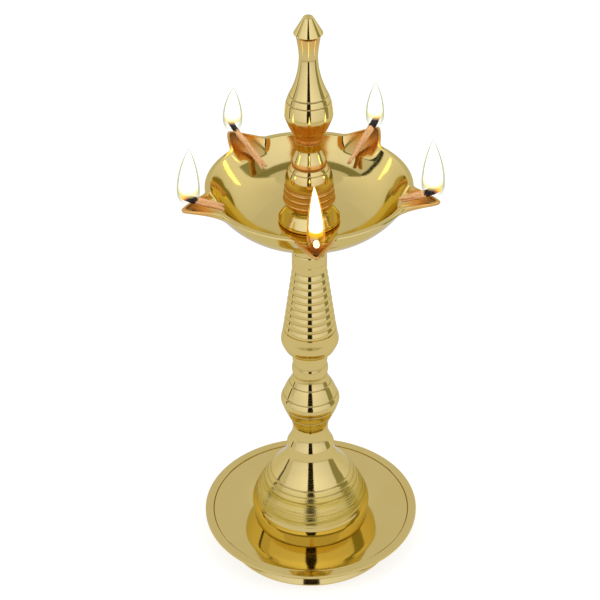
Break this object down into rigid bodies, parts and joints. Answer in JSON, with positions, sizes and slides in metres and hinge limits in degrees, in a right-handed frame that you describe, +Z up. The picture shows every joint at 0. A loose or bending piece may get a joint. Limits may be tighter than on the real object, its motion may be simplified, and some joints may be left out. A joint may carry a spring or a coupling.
{
  "type": "standing oil lamp",
  "caption": "Standing brass oil lamp: bell base on a drip plate, turned knop, ribbed column, shallow bowl with pinched spouts that hold cotton wicks, and a bottle-shaped finial.",
  "frame": {"origin": "on the table, in the middle of the lamp's floor rectangle; the lamp's own axis stands 4.2 mm behind it, at y = 0.0042", "axes": "+Z up along the lamp's axis, -Y towards the front spout, +X to the right seen from the front"},
  "size_m": [0.131, 0.1288, 0.3282],
  "materials": {
    "turned_brass": "polished",
    "cast_brass": "polished outside, as cast inside",
    "steel": "plain",
    "seal": "matt",
    "cotton": "oil-soaked, charred at the lit end"
  },
  "bodies": {
    "base": {"base": "cast_brass", "base_washer": "steel", "base_nut": "steel"},
    "base_stud": {"base_stud": "turned_brass"},
    "knop": {"knop_stem": "turned_brass"},
    "stem_stud": {"stem_stud": "turned_brass"},
    "column": {"ribbed_column": "turned_brass", "lower_bowl_washer": "seal"},
    "bowl": {"five_spout_bowl": "turned_brass", "upper_bowl_washer": "seal"},
    "bowl_stud": {"bowl_stud": "turned_brass"},
    "finial_base": {"finial_base": "turned_brass"},
    "finial_stud": {"finial_stud": "turned_brass"},
    "finial_top": {"finial_top": "turned_brass"},
    "wick_front": {"wick_front": "cotton"},
    "wick_right": {"wick_right": "cotton"},
    "wick_back_right": {"wick_back_right": "cotton"},
    "wick_back_left": {"wick_back_left": "cotton"},
    "wick_left": {"wick_left": "cotton"}
  },
  "joints": [
    {"name": "knop_turn", "type": "hinge", "parent": "base", "child": "base_stud", "pos_m": [0, 0.0042, 0.0651], "axis": [0, 0, 1], "range_deg": [0, 1800]},
    {"name": "knop_lift", "type": "slide", "parent": "base_stud", "child": "knop", "axis": [0, 0, 1], "range_m": [0, 0.01]},
    {"name": "column_turn", "type": "hinge", "parent": "knop", "child": "stem_stud", "pos_m": [0, 0.0042, 0.1283], "axis": [0, 0, 1], "range_deg": [0, 1800]},
    {"name": "column_lift", "type": "slide", "parent": "stem_stud", "child": "column", "axis": [0, 0, 1], "range_m": [0, 0.01]},
    {"name": "bowl_turn", "type": "hinge", "parent": "column", "child": "bowl", "pos_m": [0, 0.0042, 0.20836], "axis": [0, 0, 1], "continuous": true},
    {"name": "finial_base_turn", "type": "hinge", "parent": "column", "child": "bowl_stud", "pos_m": [0, 0.0042, 0.21246], "axis": [0, 0, 1], "range_deg": [0, 1800]},
    {"name": "finial_base_lift", "type": "slide", "parent": "bowl_stud", "child": "finial_base", "axis": [0, 0, 1], "range_m": [0, 0.01]},
    {"name": "finial_top_turn", "type": "hinge", "parent": "finial_base", "child": "finial_stud", "pos_m": [0, 0.0042, 0.25976], "axis": [0, 0, 1], "range_deg": [0, 1800]},
    {"name": "finial_top_lift", "type": "slide", "parent": "finial_stud", "child": "finial_top", "axis": [0, 0, 1], "range_m": [0, 0.01]},
    {"name": "wick_front_push", "type": "slide", "parent": "bowl", "child": "wick_front", "axis": [0, -0.8988, 0.4384], "range_m": [0, 0.01]},
    {"name": "wick_right_push", "type": "slide", "parent": "bowl", "child": "wick_right", "axis": [0.8548, -0.2777, 0.4384], "range_m": [0, 0.01]},
    {"name": "wick_back_right_push", "type": "slide", "parent": "bowl", "child": "wick_back_right", "axis": [0.5283, 0.7271, 0.4384], "range_m": [0, 0.01]},
    {"name": "wick_back_left_push", "type": "slide", "parent": "bowl", "child": "wick_back_left", "axis": [-0.5283, 0.7271, 0.4384], "range_m": [0, 0.01]},
    {"name": "wick_left_push", "type": "slide", "parent": "bowl", "child": "wick_left", "axis": [-0.8548, -0.2777, 0.4384], "range_m": [0, 0.01]}
  ],
  "couplings": [
    {"joint": "knop_turn", "follows": "knop_lift", "rad_per_m": 3141.6},
    {"joint": "column_turn", "follows": "column_lift", "rad_per_m": 3141.6},
    {"joint": "finial_base_turn", "follows": "finial_base_lift", "rad_per_m": 3141.6},
    {"joint": "finial_top_turn", "follows": "finial_top_lift", "rad_per_m": 3141.6}
  ]
}
